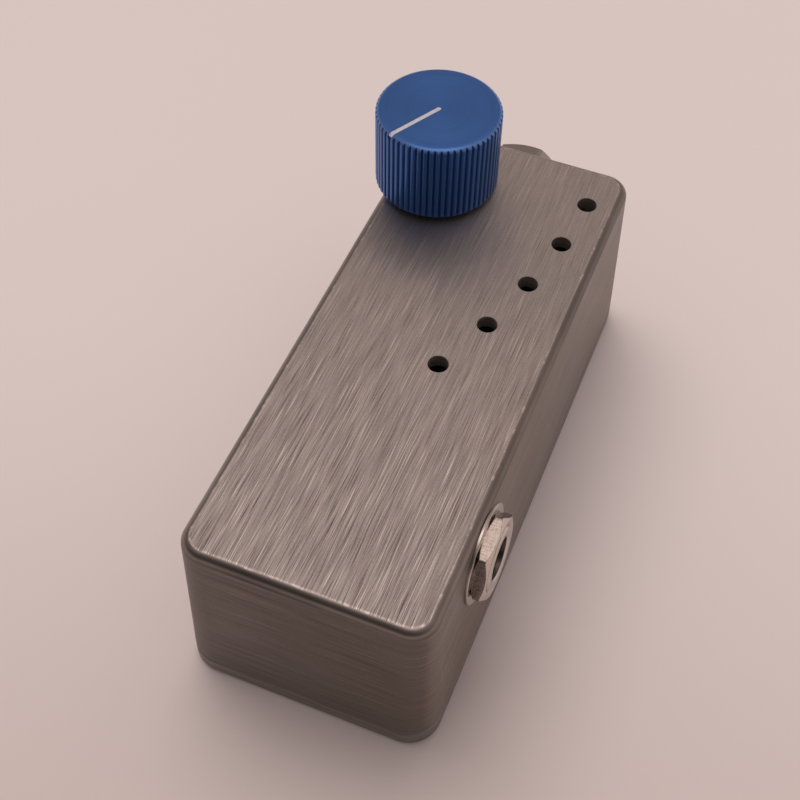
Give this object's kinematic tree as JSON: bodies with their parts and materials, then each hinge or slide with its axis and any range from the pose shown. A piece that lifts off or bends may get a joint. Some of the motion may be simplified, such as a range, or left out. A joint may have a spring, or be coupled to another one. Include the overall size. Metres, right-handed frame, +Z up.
{
  "type": "tube buffer amplifier",
  "caption": "Pocket tube buffer amplifier: brushed die-cast aluminium case, blue fluted volume knob, row of vent holes, input and output jack sockets, power socket.",
  "frame": {"origin": "centre of the underside of the lid, on which the object stands", "axes": "+X out of the wall with the input jack, +Y along the case towards the power socket and the knob, +Z up"},
  "size_m": [0.0427, 0.0957, 0.0457],
  "materials": {
    "case_aluminium": "brushed, bare",
    "knob_blue": "anodised, satin",
    "pointer_white": "matt fill",
    "screw_steel": "zinc plated",
    "set_screw_black": "black oxide",
    "nickel": "bright nickel plate",
    "jack_steel": "nickel plated",
    "spring_bronze": "tinned phosphor bronze",
    "phenolic": "phenolic paper",
    "pot_metal": "turned",
    "black_plastic": "moulded",
    "board_green": "solder mask",
    "nylon": "natural nylon",
    "resistor_blue": "lacquer",
    "film_red": "moulded box",
    "sleeve_black": "shrunk sleeve",
    "tube_glass": "clear glass",
    "tube_nickel": "nickel",
    "mica": "mica",
    "solder": "tin solder",
    "wire_white": "insulation",
    "wire_black": "insulation",
    "wire_red": "insulation",
    "wire_yellow": "insulation"
  },
  "bodies": {
    "case": {"enclosure_body": "case_aluminium", "bottom_lid": "case_aluminium", "lid_screws": "screw_steel", "board_screws": "screw_steel", "input_jack_nut": "nickel", "input_jack_washer": "nickel", "input_jack_bushing": "nickel", "output_jack_nut": "nickel", "output_jack_washer": "nickel", "output_jack_bushing": "nickel", "dc_jack_nut": "nickel", "dc_jack_shell": "nickel", "pot_nut": "nickel", "pot_washer": "nickel", "input_jack_frame": "jack_steel", "output_jack_frame": "jack_steel", "input_jack_rivets": "jack_steel", "output_jack_rivets": "jack_steel", "input_jack_tip_terminal": "spring_bronze", "output_jack_tip_terminal": "spring_bronze", "dc_jack_terminal": "spring_bronze", "dc_jack_pin": "spring_bronze", "pot_terminals": "spring_bronze", "input_jack_insulators": "phenolic", "output_jack_insulators": "phenolic", "dc_jack_insulator": "phenolic", "pot_track": "phenolic", "pot_bushing": "pot_metal", "pot_housing": "black_plastic", "transistors": "black_plastic", "heater_regulator": "black_plastic", "protection_diode": "black_plastic", "circuit_board": "board_green", "board_standoffs": "nylon", "tube_clips": "nylon", "resistors": "resistor_blue", "film_capacitors": "film_red", "electrolytic_capacitors": "sleeve_black", "tube_glass": "tube_glass", "tube_anode": "tube_nickel", "tube_grid": "tube_nickel", "tube_cathode": "tube_nickel", "tube_getter": "tube_nickel", "tube_leads": "tube_nickel", "tube_micas": "mica", "solder_joints": "solder", "input_wire": "wire_white", "output_wire": "wire_white", "ground_wires": "wire_black", "power_wires": "wire_red", "pot_wires": "wire_yellow"},
    "knob": {"knob": "knob_blue", "knob_pointer": "pointer_white", "knob_set_screw": "set_screw_black", "pot_shaft": "pot_metal", "pot_rotor": "black_plastic", "pot_wiper": "spring_bronze"},
    "input_contact": {"input_jack_tip_spring": "spring_bronze"},
    "output_contact": {"output_jack_tip_spring": "spring_bronze"},
    "power_contact": {"dc_jack_spring": "spring_bronze"}
  },
  "joints": [
    {"name": "knob_turn", "type": "hinge", "parent": "case", "child": "knob", "pos_m": [-0.0112, 0.0327, 0.0388], "axis": [0, 0, 1], "range_deg": [-300, 0]},
    {"name": "input_contact_flex", "type": "hinge", "parent": "case", "child": "input_contact", "pos_m": [0.00444, -0.0254, 0.01652], "axis": [0, -1, 0], "range_deg": [0, 9], "stiffness_Nm_per_rad": 0.05},
    {"name": "output_contact_flex", "type": "hinge", "parent": "case", "child": "output_contact", "pos_m": [-0.00424, -0.0074, 0.02181], "axis": [0, -1, 0], "range_deg": [0, 9], "stiffness_Nm_per_rad": 0.05},
    {"name": "power_contact_flex", "type": "hinge", "parent": "case", "child": "power_contact", "pos_m": [-0.0005, 0.03532, 0.01854], "axis": [-1, 0, 0], "range_deg": [0, 4], "stiffness_Nm_per_rad": 0.02}
  ]
}
